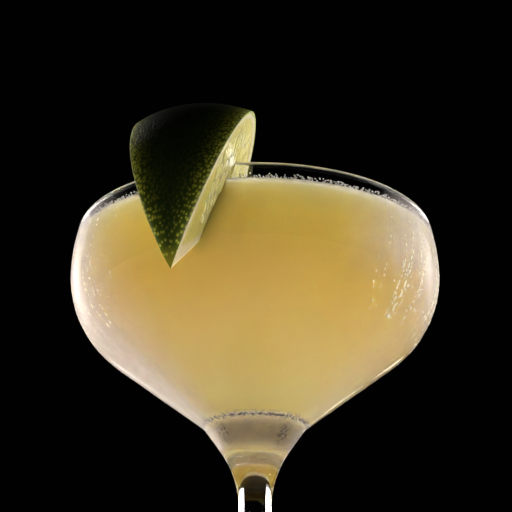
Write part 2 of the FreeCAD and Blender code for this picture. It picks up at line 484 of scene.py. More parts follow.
def mottling():
    """Node group: soft unevenness of a surface at a given size, and a finer grain on top of it."""
    name = "Mottling"
    if name in bpy.data.node_groups:
        return bpy.data.node_groups[name]
    group = bpy.data.node_groups.new(name, "ShaderNodeTree")
    size = group.interface.new_socket("Size", in_out="INPUT", socket_type="NodeSocketFloat")
    size.default_value = 5 * MM
    stretch = group.interface.new_socket("Stretch", in_out="INPUT", socket_type="NodeSocketFloat")
    stretch.default_value = 1.0
    for output in ("Tone", "Grain"):
        group.interface.new_socket(output, in_out="OUTPUT", socket_type="NodeSocketFloat")
    start = group.nodes.new("NodeGroupInput")
    end = group.nodes.new("NodeGroupOutput")
    place = add_node(group, "ShaderNodeTexCoord").outputs["Object"]
    drawn_out = add_node(group, "ShaderNodeCombineXYZ", X=1.0, Y=1.0, Z=start.outputs["Stretch"]).outputs[0]
    divide = {"operation": "DIVIDE"}
    place = add_node(group, "ShaderNodeVectorMath", divide, i0=place, i1=drawn_out).outputs[0]
    often = calculated(group, "DIVIDE", 1.0, start.outputs["Size"])
    soft = add_node(group, "ShaderNodeTexNoise", Vector=place, Scale=often, Detail=3.0, Roughness=0.55)
    group.links.new(ranged(group, soft.outputs[0], 0.3, 0.7, 0.0, 1.0), end.inputs["Tone"])
    finer = calculated(group, "MULTIPLY", often, 7.0)
    fine = add_node(group, "ShaderNodeTexNoise", Vector=place, Scale=finer, Detail=2.0, Roughness=0.6)
    group.links.new(ranged(group, fine.outputs[0], 0.25, 0.75, 0.0, 1.0), end.inputs["Grain"])
    return group


def mottled(tree, size, stretch=1.0):
    """The two outputs of the mottling group, placed in a material."""
    made = add_node(tree, "ShaderNodeGroup", {"node_tree": mottling()})
    made.inputs["Size"].default_value = size
    made.inputs["Stretch"].default_value = stretch
    return made.outputs["Tone"], made.outputs["Grain"]


def glass_material(settings):
    """Clear polished glass with slight waves, and a matt lip."""
    material, tree, shader = new_material("clear_glass", Transmission_Weight=1.0, IOR=1.5)
    tone, grain = mottled(tree, settings.ripple_size, 2.5)
    shade = mixed(tree, tone, settings.tint, scaled(settings.tint, 0.995))
    tree.links.new(shade, shader.inputs["Base Color"])
    roughness = ranged(tree, grain, 0.3, 1.0, 0.0, settings.polish)
    lip = ranged(tree, object_height(tree), RIM_Z - 0.8 * MM, RIM_Z - 0.5 * MM, 0.0, settings.lip)
    roughness = calculated(tree, "MAXIMUM", roughness, lip)
    tree.links.new(roughness, shader.inputs["Roughness"])
    tree.links.new(bumped(tree, tone, 0.02 * MM, 0.5), shader.inputs["Normal"])
    return material


def drink_materials(settings):
    """The drink against the glass, and its open surface."""
    made = []
    for name, gloss, roughness in (("drink_in_glass", 0.08, 0.45), ("drink_surface", 0.5, 0.06)):
        material, tree, shader = new_material(
            name, Subsurface_Weight=1.0, Subsurface_Scale=settings.scatter,
            Subsurface_Radius=(1.0, 0.8, 0.45), Specular_IOR_Level=gloss, IOR=1.35,
        )
        tone, grain = mottled(tree, settings.cloud_size)
        height = object_height(tree)
        # Painted light: the drink is paler low in the bowl and towards its surface; the lighter clouds on top
        # of that are random.
        painted_light_low = ranged(tree, height, WELL_Z + 6 * MM, WELL_Z + 25 * MM, 1.0, 0.0)
        off_bottom = ranged(tree, height, WELL_Z, WELL_Z + 4 * MM, 0.0, 1.0)
        painted_light_low = calculated(tree, "MULTIPLY", painted_light_low, off_bottom)
        painted_light_high = ranged(tree, height, LEVEL_Z - 18 * MM, LEVEL_Z, 0.0, 0.45)
        paler = ranged(tree, tone, 0.0, 1.0, 0.0, 0.12)
        light = calculated(tree, "ADD", calculated(tree, "ADD", painted_light_low, painted_light_high), paler)
        shade = mixed(tree, light, settings.deep, settings.pale)
        # Painted shade, tinted olive, where the wedge sits in the drink by the wall.
        shade = mixed(tree, measured(tree, "near_wedge"), shade, settings.shaded)
        # Painted shade: the drink is darker and greyer just under its surface.
        near_top = ranged(tree, height, LEVEL_Z - 7 * MM, LEVEL_Z, 0.0, 0.8)
        shade = mixed(tree, near_top, shade, settings.brim_shade)
        # Painted shade: the drink darkens at the bottom of the well.
        in_well = ranged(tree, height, WELL_Z - MM, WELL_Z + 3 * MM, 0.7, 0.0)
        shade = mixed(tree, in_well, shade, settings.well_shade)
        from_to = (0.8 * roughness, 1.2 * roughness)
        connect_surface(tree, shader, shade, grain, from_to, (grain, 0.05 * MM, 0.4))
        made.append(material)
    return made


def water_material(name, tint, roughness, clearness):
    """Water, clear, and with a pale tint and low clearness for the drops, where it paints bright glints."""
    material, tree, shader = new_material(name, Transmission_Weight=clearness, IOR=1.33)
    tone, grain = mottled(tree, 2 * MM)
    shade = mixed(tree, tone, tint, scaled(tint, 0.94))
    connect_surface(tree, shader, shade, grain, (roughness / 2, roughness), (grain, 0.01 * MM, 0.3))
    return material


def froth_material(settings):
    """Small bubbles: whitish skins that let much of the light through."""
    material, tree, shader = new_material(
        "froth", Subsurface_Weight=1.0, Subsurface_Scale=0.6 * MM,
        Subsurface_Radius=(1.0, 0.95, 0.9), IOR=1.33,
    )
    tone, grain = mottled(tree, 2 * MM)
    shade = mixed(tree, tone, settings.white, settings.grey)
    connect_surface(tree, shader, shade, grain, (0.04, 0.12), (grain, 0.01 * MM, 0.3))
    return material


def mist_material(settings):
    """Fine mist, thinner where drops have run and heavier at the sides, where its white paints the sheen of
    the side lights; painted shade darkens the neck, with dark specks on it and a dark line in the crease.
    """
    material, tree, shader = new_material("mist", Specular_IOR_Level=0.6)
    tone, grain = mottled(tree, 2.2 * MM, 6.0)
    speckle = mottled(tree, 0.9 * MM)[1]
    shade = mixed(tree, speckle, scaled(settings.mist_colour, 0.88), settings.mist_colour)
    # Painted shade: dark specks for the drops on the neck, and a dark line in the crease.
    finest = mottled(tree, 0.55 * MM)[0]
    specks = ranged(tree, finest, 0.49, 0.54, 0.0, 1.0)
    specks = calculated(tree, "MULTIPLY", specks, measured(tree, "specked"))
    specks = calculated(tree, "MAXIMUM", specks, measured(tree, "crease_shade"))
    # Painted shade darkens the neck under the crease.
    shade = mixed(tree, measured(tree, "shadowed"), shade, settings.shadowed)
    shade = mixed(tree, specks, shade, settings.speck)
    connect_surface(tree, shader, shade, grain, (0.35, 0.6), (speckle, 0.06 * MM, 0.8))
    uneven = ranged(tree, tone, 0.0, 1.0, 0.85 * settings.mist, 1.1 * settings.mist)
    uneven = calculated(tree, "MULTIPLY", uneven, ranged(tree, speckle, 0.2, 0.9, 0.6, 1.3))
    # The cover carries the mist with its painted sheen, and the painted dark specks.
    cover = calculated(tree, "MULTIPLY", measured(tree, "mist_and_sheen"), uneven)
    cover = calculated(tree, "MAXIMUM", cover, calculated(tree, "MULTIPLY", specks, 0.9))
    tree.links.new(cover, shader.inputs["Alpha"])
    return material


def peel_material(settings):
    """Dark peel with painted light near the cut faces, where the pores show bright."""
    material, tree, shader = new_material(
        "lime_peel", Coat_Weight=0.03, Coat_Roughness=0.3, Specular_IOR_Level=0.2,
        Subsurface_Weight=0.12, Subsurface_Scale=0.8 * MM, Subsurface_Radius=(0.6, 1.0, 0.2),
    )
    tone, grain = mottled(tree, 6 * MM)
    # Painted light near the cut faces: the peel is lighter there, and the pores, a little lighter than the
    # peel everywhere, show bright.
    lit = calculated(tree, "POWER", measured(tree, "near_cut"), 1.8)
    peel = mixed(tree, tone, settings.peel, scaled(settings.peel, 1.5))
    peel = mixed(tree, lit, peel, settings.lit_peel)
    pore = mixed(tree, lit, scaled(settings.pore, 0.02), settings.pore)
    peel = mixed(tree, measured(tree, "pore"), peel, pore)
    peel = mixed(tree, measured(tree, "tip"), peel, settings.tip)
    peel = mixed(tree, measured(tree, "edge"), peel, scaled(settings.pith, 0.6))
    connect_surface(tree, shader, peel, grain, (0.45, 0.6), (grain, 0.05 * MM, 0.5))
    return material


def flesh_material(settings):
    """The cut faces: zest at the edge, then pith, a brown line at the upper end, and flesh."""
    material, tree, shader = new_material(
        "lime_cut_face", Subsurface_Weight=0.5, Subsurface_Scale=1.6 * MM, Subsurface_Radius=(1.0, 0.8, 0.3),
        Coat_Weight=0.35, Coat_Roughness=0.12,
    )
    tone, grain = mottled(tree, 2.5 * MM)
    flesh = mixed(tree, tone, settings.flesh, scaled(settings.flesh, 0.8))
    pith = mixed(tree, grain, settings.pith, scaled(settings.pith, 0.88))
    cut = mixed(tree, measured(tree, "pith"), flesh, pith)
    cut = mixed(tree, measured(tree, "dried"), cut, settings.dried)
    cut = mixed(tree, measured(tree, "zest"), cut, settings.zest_colour)
    connect_surface(tree, shader, cut, grain, (0.22, 0.5), (grain, 0.12 * MM, 0.7))
    return material


def sac_material(settings):
    """Wet, bright juice sacs."""
    material, tree, shader = new_material(
        "juice_sacs", Subsurface_Weight=0.7, Subsurface_Scale=2 * MM, Subsurface_Radius=(1.0, 0.85, 0.3),
        Coat_Weight=0.8, Coat_Roughness=0.06,
    )
    tone, grain = mottled(tree, 1.6 * MM)
    shade = mixed(tree, tone, settings.sac, scaled(settings.sac, 0.82))
    connect_surface(tree, shader, shade, grain, (0.12, 0.3), (grain, 0.04 * MM, 0.5))
    return material


def floor_material(settings):
    """Plain pale floor."""
    material, tree, shader = new_material("pale_floor", Specular_IOR_Level=0.2)
    tone, grain = mottled(tree, 60 * MM)
    shade = mixed(tree, tone, settings.floor, scaled(settings.floor, 0.96))
    connect_surface(tree, shader, shade, grain, (0.6, 0.75))
    return material


# ---------------------------------------------------------------- the lime wedge

def fruit_radius(along, power):
    """Radius of the fruit at a place along the core, from -1 to 1."""
    return WEDGE.radius * np.maximum(1 - along**2, 0) ** power


def pores(settings, generator):
    """Places of the pores in the peel, as (turn about the core, place along it), on an uneven grid."""
    step = settings.pore_spacing
    places = []
    for row, y in enumerate(np.arange(-WEDGE.half_length, WEDGE.half_length, step * 0.87)):
        radius = fruit_radius(y / WEDGE.half_length, settings.end_power)
        if radius < step:
            continue
        reach = WEDGE.half_angle * radius + step
        for x in np.arange(-reach, reach, step) + (row % 2) * step / 2:
            across = x + generator.normal(0, step * 0.24)
            along = y + generator.normal(0, step * 0.22)
            places.append((across / radius, along / WEDGE.half_length))
    return np.array(places)


def peel_relief(settings, turns, along, generator):
    """How deep each peel vertex lies in a pore, from 0 to 1."""
    def spot(turn, place):
        r = fruit_radius(place, settings.end_power)
        return Vector((r * math.sin(turn), place * WEDGE.half_length, r * math.cos(turn)))

    places = pores(settings, generator)
    tree = kdtree.KDTree(len(places))
    for index, (turn, place) in enumerate(places):
        tree.insert(spot(turn, min(max(place, -1), 1)), index)
    tree.balance()
    sizes = generator.uniform(0.75, 1.3, len(places))
    depth = np.zeros(len(turns))
    for k, (turn, place) in enumerate(zip(turns, along)):
        _, index, distance = tree.find(spot(turn, place))
        depth[k] = bell(distance, 0, 0.30 * settings.pore_spacing * sizes[index])
    return depth


def wedge_mesh(settings):
    """Rings of vertices from tip to tip: the core edge, one cut face, the peel, the other cut face."""
    rings, face_steps, peel_steps = 280, 44, 190
    generator = np.random.default_rng(7)
    inner = 1 - (1 - np.arange(1, face_steps) / face_steps) ** 1.6
    turns = np.linspace(-1, 1, peel_steps + 1) * WEDGE.half_angle
    share_out = np.concatenate([[0], inner, np.ones(peel_steps + 1), inner[::-1]])
    turn_of = np.concatenate(
        [[0], np.full(face_steps - 1, turns[0]), turns, np.full(face_steps - 1, turns[-1])]
    )
    is_peel = share_out == 1
    along = -np.cos(math.pi * np.arange(1, rings) / rings)
    a, s = np.meshgrid(along, share_out, indexing="ij")
    t = np.meshgrid(along, turn_of, indexing="ij")[1]
    peel = np.broadcast_to(is_peel, a.shape)
    relief = np.zeros(a.shape)
    relief[peel] = peel_relief(settings, t[peel], a[peel], generator)
    radius = fruit_radius(a, settings.end_power)
    radial = radius * s - settings.pore_depth * relief
    points = np.stack([radial * np.sin(t), a * WEDGE.half_length, radial * np.cos(t)], -1).reshape(-1, 3)
    off_tips = np.minimum(radius / (6 * MM), 1)
    swell = noise_at(points, 90).reshape(a.shape)
    swell *= 0.25 * MM * off_tips * s
    points = points.reshape(*a.shape, 3)
    points += swell[..., None] * np.stack([np.sin(t), np.zeros(t.shape), np.cos(t)], -1)
    across = np.stack([np.cos(t), np.zeros(t.shape), -np.sin(t)], -1) * np.sign(t)[..., None]
    ruffle = noise_at(points.reshape(-1, 3), 700).reshape(a.shape)
    inside = (~peel) & (s > 0)
    sunk = np.where(inside, -0.10 * MM + 0.10 * MM * ruffle, 0)
    sunk *= np.minimum(4 * (1 - s), 1) * np.minimum(5 * s, 1) * off_tips
    points += sunk[..., None] * across
    count = len(share_out)
    vertices = [(0, -WEDGE.half_length, 0), *points.reshape(-1, 3), (0, WEDGE.half_length, 0)]
    last = len(vertices) - 1
    faces = []
    for k in range(count):
        n = (k + 1) % count
        faces.append((0, 1 + n, 1 + k))
        for ring in range(rings - 2):
            start = 1 + ring * count
            faces.append((start + k, start + n, start + count + n, start + count + k))
        start = 1 + (rings - 2) * count
        faces.append((start + k, start + n, last))
    return WEDGE.place(np.array(vertices)), faces


def slit_mesh(gap):
    """The glass wall grown by the slit's gap, turned all round, for cutting the wedge."""
    heights = np.linspace(RIM_Z - 36 * MM, RIM_Z - 1.2 * MM, 90)
    outer = np.interp(heights, OUTSIDE[:, 1], OUTSIDE[:, 0]) + gap
    inner = []
    for z in heights:
        hit = GLASS_TREE.ray_cast(Vector((0, 0, z)), PROBE)[0]
        inner.append(hit.dot(PROBE) - gap)
    inner = np.array(inner)
    middle, half = (outer[-1] + inner[-1]) / 2, (outer[-1] - inner[-1]) / 2
    lip_z = RIM_Z + gap - half
    lip = [(middle + half * math.cos(u), lip_z + half * math.sin(u)) for u in np.linspace(0, math.pi, 15)]
    outline = [*zip(outer, heights), *lip, *zip(inner[::-1], heights[::-1])]
    return turned(outline[::-1], 300, ring=True)


def anatomy(points, settings):
    """Shares of pith, dried edge, zest, end colour and painted light near the cuts at points of the wedge,
    and their depth.
    """
    local = WEDGE.local(points)
    along = np.clip(local[:, 1] / WEDGE.half_length, -0.9999, 0.9999)
    from_core = np.hypot(local[:, 0], local[:, 2])
    radius = fruit_radius(along, settings.end_power)
    steep = 2 * settings.end_power * along * radius / (1 - along**2) / WEDGE.half_length
    depth = (radius - from_core) / np.sqrt(1 + steep**2)
    wander = noise_at(local, 420) * 0.35 * MM
    thickness = settings.pith_side + settings.pith_end * np.abs(along) ** 4 + wander
    core = settings.core * (1 + 2 * np.abs(along) ** 2) + wander

    def step(value, width):
        return np.clip(0.5 - value / width, 0, 1)

    pith = np.maximum(step(depth - thickness, 0.5 * MM), step(from_core - core, 0.4 * MM))
    line = bell(depth - thickness, 0.15 * MM, 0.28 * MM)
    dried = 0.75 * line * rising(along, 0.5, 0.2) * rising(from_core, 3 * MM, MM)
    zest = step(depth - settings.zest, 0.25 * MM)
    tip = 0.85 * rising(np.abs(along), 0.965, 0.03)
    turn = np.abs(np.arctan2(local[:, 0], local[:, 2]))
    # Painted light on the peel, strongest at the cut faces and fading over the glow depth.
    near_cut = np.exp(-np.maximum(WEDGE.half_angle - turn, 0) * radius / settings.glow_depth)
    edge = 0.7 * near_cut ** (settings.glow_depth / (0.2 * MM)) * rising(radius, 4 * MM, 4 * MM)
    return {
        "pith": pith, "dried": dried, "zest": zest, "tip": tip,
        "near_cut": near_cut, "edge": edge, "depth": depth,
    }


def write_values(mesh, values):
    for name, data in values.items():
        attribute = mesh.attributes.new(name, "FLOAT", "POINT")
        attribute.data.foreach_set("value", np.asarray(data, np.float32))


def vertex_array(mesh):
    points = np.zeros(len(mesh.vertices) * 3)
    mesh.vertices.foreach_get("co", points)
    return points.reshape(-1, 3)


def cut_away(piece, cutter_mesh):
    """Cuts a closed mesh out of a piece."""
    cutter = new_piece("cutter", *cutter_mesh, [])
    modifier = piece.modifiers.new("cut", "BOOLEAN")
    modifier.operation = "DIFFERENCE"
    modifier.solver = "MANIFOLD"
    modifier.object = cutter
    graph = bpy.context.evaluated_depsgraph_get()
    cut = bpy.data.meshes.new_from_object(piece.evaluated_get(graph))
    if len(cut.vertices) < len(piece.data.vertices) / 2:
        raise RuntimeError("the cut took away most of the piece")
    piece.modifiers.clear()
    piece.data = cut
    bpy.data.objects.remove(cutter)


def sac_places(settings, generator, side):
    """Centres and axes of the juice sacs on one cut face, in rows from the pith to the core."""
    turn = side * WEDGE.half_angle
    outwards = np.array([math.sin(turn), 0, math.cos(turn)])
    along = np.array([0, 1.0, 0])
    raised = np.array([math.cos(turn), 0, -math.sin(turn)]) * side
    centres, axes = [], []
    spacing, row_height = 1.25 * MM, 3.6 * MM
    for row, v in enumerate(np.arange(2.4 * MM, WEDGE.radius, row_height)):
        for u in np.arange(-WEDGE.half_length, WEDGE.half_length, spacing) + (row % 2) * spacing / 2:
            u += generator.normal(0, 0.2 * MM)
            w = v + generator.normal(0, 0.5 * MM)
            centre = u * along + w * outwards
            focus = 0.42 * u * along
            way = centre - focus
            way /= np.linalg.norm(way)
            half = generator.uniform(2.1, 3.3) * MM
            within = np.array([centre + way * half * end for end in (-0.8, 0, 0.8)])
            values = anatomy(WEDGE.place(within), settings)
            if values["pith"].max() > 0.4 or values["depth"].min() < 0 or u < -0.45 * WEDGE.half_length:
                continue
            across = np.cross(way, raised)
            centres.append(centre - raised * 0.12 * MM)
            width = generator.uniform(0.5, 0.75) * MM
            height = generator.uniform(0.32, 0.5) * MM
            axes.append([across * width, raised * height, way * half])
    return np.array(centres), np.array(axes)


def sacs_mesh(settings):
    """All the juice sacs, without those that the glass wall would cross."""
    generator = np.random.default_rng(11)
    shape, faces = ball(8, 8)
    taper = 1 - 0.35 * shape[:, 2]
    shape = shape * np.stack([taper, taper, np.ones(len(shape))], -1)
    parts = []
    for side in (-1, 1):
        centres, axes = sac_places(settings, generator, side)
        steps = np.linspace(-1, 1, 5)[:, None]
        ends = WEDGE.place((centres[:, None] + axes[:, 2, None] * steps).reshape(-1, 3))
        outer = np.interp(ends[:, 2], OUTSIDE[:, 1], OUTSIDE[:, 0])
        off_wall = outer - np.hypot(ends[:, 0], ends[:, 1])
        in_wall = (off_wall > -0.6 * MM) & (off_wall < 2.1 * MM) & (ends[:, 2] < RIM_Z + 0.5 * MM)
        clear = ~in_wall.reshape(-1, 5).any(1)
        vertices, made = scattered((shape, faces), centres[clear], axes[clear])
        parts.append((WEDGE.place(vertices), made))
    return joined(*parts)


# ---------------------------------------------------------------- condensation and froth

def on_glass(turns, heights, radii, stretch, lift):
    """Centres and axes for drops on the outside of the glass; stretch runs down the wall, lift off it."""
    radius, out_r, out_z = outside_at(heights)
    normal = np.stack([out_r * np.cos(turns), out_r * np.sin(turns), out_z], -1)
    sideways = np.stack([-np.sin(turns), np.cos(turns), np.zeros(len(turns))], -1)
    down = np.cross(normal, sideways)
    centres = np.stack([radius * np.cos(turns), radius * np.sin(turns), heights], -1)
    size = radii[:, None]
    axes = [sideways * size, down * size * stretch[:, None], normal * size * lift[:, None]]
    return centres, np.stack(axes, 1)


def from_front(turns):
    """How far round from the front, either way."""
    return np.abs((turns + math.pi * 1.5) % (2 * math.pi) - math.pi)


def mist_values(settings, points):
    """Values of the mist at its points: its cover, which paints sheen at the sides as well as mist, and the
    painted shade of the dark specks, the dark neck and the line in the crease.
    """
    turns = np.arctan2(points[:, 1], points[:, 0])
    z = points[:, 2]
    turned_by = from_front(turns)
    # Painted sheen on real mist: the cover is thin at the front and a little thinner behind, heavy towards
    # the sides, higher up at the sides and above the drink there, and lighter low on the right, so that the
    # white of the mist paints the sheen of the side lights.
    behind = rising(turned_by, 95 * DEGREE, 40 * DEGREE)
    ahead = 1 - 0.7 * behind
    sides = (0.02 + 0.98 * rising(turned_by, settings.bare_front, 38 * DEGREE) ** 1.5) * ahead
    upper = 0.2 * rising(z, LEVEL_Z - 9 * MM, 8 * MM) * rising(turned_by, 0, 1 / 1.5)
    inner_edge = np.where(np.cos(turns) > 0, 24 * DEGREE, 40 * DEGREE)
    high = rising(z, LEVEL_Z - 22 * MM, 12 * MM) * rising(turned_by, inner_edge, 26 * DEGREE)
    around = np.maximum(np.maximum(sides, upper), 0.9 * high * ahead)
    low_right = rising(z, WELL_Z + 33 * MM, -12 * MM) * rising(np.cos(turns), 0, 1 / 3)
    around *= 1 - 0.72 * low_right
    under_level = rising(z, LEVEL_Z + 0.6 * MM, -MM)
    over_level = rising(z, RIM_Z + MM, LEVEL_Z - RIM_Z) * rising(turned_by, 40 * DEGREE, 16 * DEGREE)
    top = np.maximum(under_level, 0.8 * over_level * (1 - behind))
    foot = rising(z, WELL_Z - 6 * MM, 9 * MM)
    crease = crease_height()
    neck_z = crease - 3.4 * MM
    # Painted shade: the neck just under the crease gets a full, dark cover.
    neck = bell(z, neck_z, 3.0 * MM, 4)
    # Painted shade: water drops on the neck show as dark specks in the crease and in patches.
    specked = bell(z, crease, 0.45 * MM)
    for turn in settings.patches:
        far = np.hypot(outside_at(crease)[0] * (turns - turn), z - neck_z)
        specked = np.maximum(specked, 0.9 * bell(far, 0, 2.6 * MM))
    cover = np.maximum(around * foot * (1 - 0.6 * neck), neck) * top
    # Painted shade: a dark line in the crease, at the front.
    line = 0.6 * bell(z, crease, 0.26 * MM) * rising(turned_by, 1, -1 / 1.5)
    return {"mist_and_sheen": cover, "specked": specked, "shadowed": neck * (1 - around), "crease_shade": line}


def off_front(generator, turns, bare):
    """Which turns to keep, so that the front of the bowl stays bare and drops gather towards the sides."""
    return generator.uniform(0, 1, len(turns)) < rising(from_front(turns), bare, 0.25)


def crease_height():
    """Height of the crease between the bowl and the neck: where the outside turns most sharply."""
    slope = np.gradient(OUTSIDE[:, 0], OUTSIDE[:, 1])
    bend = np.abs(np.gradient(slope, OUTSIDE[:, 1]))
    low = OUTSIDE[:, 1] < WELL_Z + 8 * MM
    return OUTSIDE[low, 1][np.argmax(bend[low])]


def neck_beads(settings, generator):
    """Turns, heights and radii of the beads that gather in the crease and on the neck just under it."""
    count = settings.neck_beads
    turns = generator.uniform(0, 2 * math.pi, count)
    heights = crease_height() - np.abs(generator.normal(0, 3.2 * MM, count))
    in_crease = generator.uniform(0, 1, count) < 0.3
    heights[in_crease] = crease_height() + generator.normal(0, 0.35 * MM, in_crease.sum())
    return turns, heights, 0.8 * settings.bead_size * generator.lognormal(0, 0.35, count)


def bead_height(generator, count):
    """Heights for beads: evenly over the bowl, thinning out down the neck."""
    low = WELL_Z - 9 * MM
    heights = generator.uniform(low, LEVEL_Z - 0.5 * MM, count * 2)
    keep = generator.uniform(0, 1, count * 2) < np.interp(heights, [low, WELL_Z + 8 * MM], [0.15, 1])
    keep &= generator.uniform(0, 1, count * 2) < outside_at(heights)[0] / BOWL_RADIUS
    return heights[keep][:count]


def drop_runs(settings, generator):
    """Turns, heights and radii of the larger drops: most in runs down the wall, some on their own."""
    turns, heights = [], []
    per_run = int(0.75 * settings.drops / settings.runs)
    for turn in generator.uniform(0, 2 * math.pi, settings.runs):
        top = LEVEL_Z - generator.uniform(1, 15) * MM
        gaps = generator.gamma(1.6, 0.45 * MM, per_run)
        down = top - np.cumsum(gaps)
        turns.extend(turn + np.cumsum(generator.normal(0, 0.004, per_run)))
        heights.extend(down)
    single = settings.drops - len(turns)
    turns.extend(generator.uniform(0, 2 * math.pi, single))
    heights.extend(generator.uniform(WELL_Z + 6 * MM, LEVEL_Z - MM, single))
    turns, heights = np.array(turns), np.array(heights)
    bare = settings.bare_front + np.where(np.cos(turns) > 0, 0.09, 0.2)
    keep = (heights > WELL_Z + 22 * MM) & off_front(generator, turns, bare)
    radii = settings.drop_size * generator.lognormal(0, 0.32, len(turns))
    return turns[keep], heights[keep], radii[keep]


def froth_places(settings, generator):
    """Centres and radii of the bubbles in the ring of froth against the wall, and in small rafts."""
    count = settings.count
    turns = generator.uniform(0, 2 * math.pi, count)
    radii = settings.smallest + (settings.largest - settings.smallest) * generator.beta(1.2, 3.2, count)
    ragged = np.array([noise.noise(Vector((math.cos(t) * 24, math.sin(t) * 24, 0))) for t in turns])
    climb = settings.height * (0.9 + 0.3 * ragged) * generator.beta(1.0, 1.3, count)
    heights = LEVEL_Z - 0.3 * MM + climb
    wall = []
    for z in heights:
        wall.append(GLASS_TREE.ray_cast(Vector((0, 0, z)), PROBE)[0].dot(PROBE))
    drift = np.abs(generator.normal(0, 0.4 * MM, count))
    drift *= np.clip(1 - climb / settings.height, 0.05, 1)
    reach = np.array(wall) - 0.8 * radii - drift
    ring = np.stack([reach * np.cos(turns), reach * np.sin(turns), heights], -1)
    rafts, raft_radii = [], []
    for _ in range(settings.rafts):
        turn = generator.uniform(0, 2 * math.pi)
        out = (BOWL_RADIUS - 3 * MM) * math.sqrt(generator.uniform(0.15, 0.9))
        middle = np.array([out * math.cos(turn), out * math.sin(turn)])
        for _ in range(generator.integers(4, 26)):
            spot = middle + generator.normal(0, 1.1 * MM, 2)
            if np.hypot(*spot) < BOWL_RADIUS - 3.5 * MM:
                rafts.append((*spot, LEVEL_Z))
                raft_radii.append(generator.uniform(settings.smallest, settings.largest))
    return np.concatenate([ring, rafts]), np.concatenate([radii, raft_radii])


# ---------------------------------------------------------------- operators

class MARGARITA_OT_glass(bpy.types.Operator):
    """Give the coupe its clear glass"""

    bl_idname = "margarita.glass"
    bl_label = "Finish Coupe Glass"

    def execute(self, context):
        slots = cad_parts["glass"].data.materials
        slots[0] = glass_material(context.scene.margarita.coupe)
        return {"FINISHED"}


class MARGARITA_OT_drink(bpy.types.Operator):
    """Fill the bowl with the cloudy drink, up into the wall"""

    bl_idname = "margarita.drink"
    bl_label = "Pour Drink"

    def execute(self, context):
        settings = context.scene.margarita.drink
        side = inside_outline(settings.reach, 120)
        edge = side[0][0]
        top = []
        for r in np.linspace(0, edge, 60)[:-1]:
            rise = settings.meniscus * math.exp(-(edge - r) / (0.9 * MM))
            top.append((r, LEVEL_Z + rise))
        side[0][1] = LEVEL_Z + settings.meniscus
        piece = new_piece("drink_body", *turned([*top, *side], AROUND), drink_materials(settings))
        surface = AROUND * len(top)
        for polygon in piece.data.polygons[:surface]:
            polygon.material_index = 1
        wedge = wedge_mesh(context.scene.margarita.lime)
        cut_away(piece, wedge)
        piece.data.set_sharp_from_angle(angle=math.radians(50))
        tree = BVHTree.FromPolygons(*wedge)
        # For the painted shade near the wedge: how near each point of the drink is to the wedge.
        away = [tree.find_nearest(vertex.co)[3] for vertex in piece.data.vertices]
        write_values(piece.data, {"near_wedge": bell(np.array(away), 0, settings.shade_reach)})
        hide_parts("drink")
        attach(piece, "root")
        return {"FINISHED"}


class MARGARITA_OT_froth(bpy.types.Operator):
    """Ring of fine froth where the drink meets the wall"""

    bl_idname = "margarita.froth"
    bl_label = "Add Froth"

    def execute(self, context):
        settings = context.scene.margarita.froth
        centres, radii = froth_places(settings, np.random.default_rng(3))
        axes = np.eye(3)[None] * radii[:, None, None]
        mesh = scattered(ball(7, 3), centres, axes)
        piece = new_piece("froth_bubbles", *mesh, [froth_material(settings)])
        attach(piece, "root")
        return {"FINISHED"}


class MARGARITA_OT_mist(bpy.types.Operator):
    """Fine mist on the outside of the cold bowl"""

    bl_idname = "margarita.mist"
    bl_label = "Mist Bowl"

    def execute(self, context):
        settings = context.scene.margarita.condensation
        heights = np.linspace(WELL_Z - 11 * MM, RIM_Z - 0.8 * MM, 130)
        radius, out_r, out_z = outside_at(heights)
        outer, inner = (
            [*zip(radius + lift * out_r, heights + lift * out_z)] for lift in (settings.film, -settings.film)
        )
        film = turned([*outer[::-1], *inner], AROUND, ring=True)
        piece = new_piece("mist_film", *film, [mist_material(settings)])
        write_values(piece.data, mist_values(settings, vertex_array(piece.data)))
        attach(piece, "root")
        return {"FINISHED"}


class MARGARITA_OT_drops(bpy.types.Operator):
    """Beads and drops of water on the outside of the bowl"""

    bl_idname = "margarita.drops"
    bl_label = "Add Water Drops"

    def execute(self, context):
        settings = context.scene.margarita.condensation
        water = water_material("water", (1.0, 1.0, 1.0), 0.02, 1.0)
        generator = np.random.default_rng(5)
        heights = bead_height(generator, settings.beads)
        count = len(heights)
        turns = generator.uniform(0, 2 * math.pi, count)
        kept = off_front(generator, turns, settings.bare_front)
        turns, heights, count = turns[kept], heights[kept], kept.sum()
        radii = settings.bead_size * generator.lognormal(0, 0.35, count)
        low = neck_beads(settings, generator)
        turns, heights, radii = (np.concatenate(pair) for pair in zip((turns, heights, radii), low))
        count = len(turns)
        stretch = generator.uniform(0.9, 1.2, count)
        lift = generator.uniform(0.35, 0.55, count)
        beads = on_glass(turns, heights, radii, stretch, lift)
        turns, heights, radii = drop_runs(settings, generator)
        count = len(heights)
        stretch = generator.uniform(1.1, 1.9, count)
        lift = generator.uniform(0.3, 0.45, count)
        drops = on_glass(turns, heights, radii, stretch, lift)
        # Painted glints: the larger drops are pale and mostly not clear, so that they show bright.
        paler = water_material("glint_water", settings.paler, 0.08, 0.25)
        sets = (("water_beads", dome(6, 2), beads, water), ("water_drops", dome(8, 3), drops, paler))
        for name, shape, placed, material in sets:
            piece = new_piece(name, *scattered(shape, *placed), [material])
            piece.data.set_sharp_from_angle(angle=math.radians(70))
            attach(piece, "root")
        return {"FINISHED"}


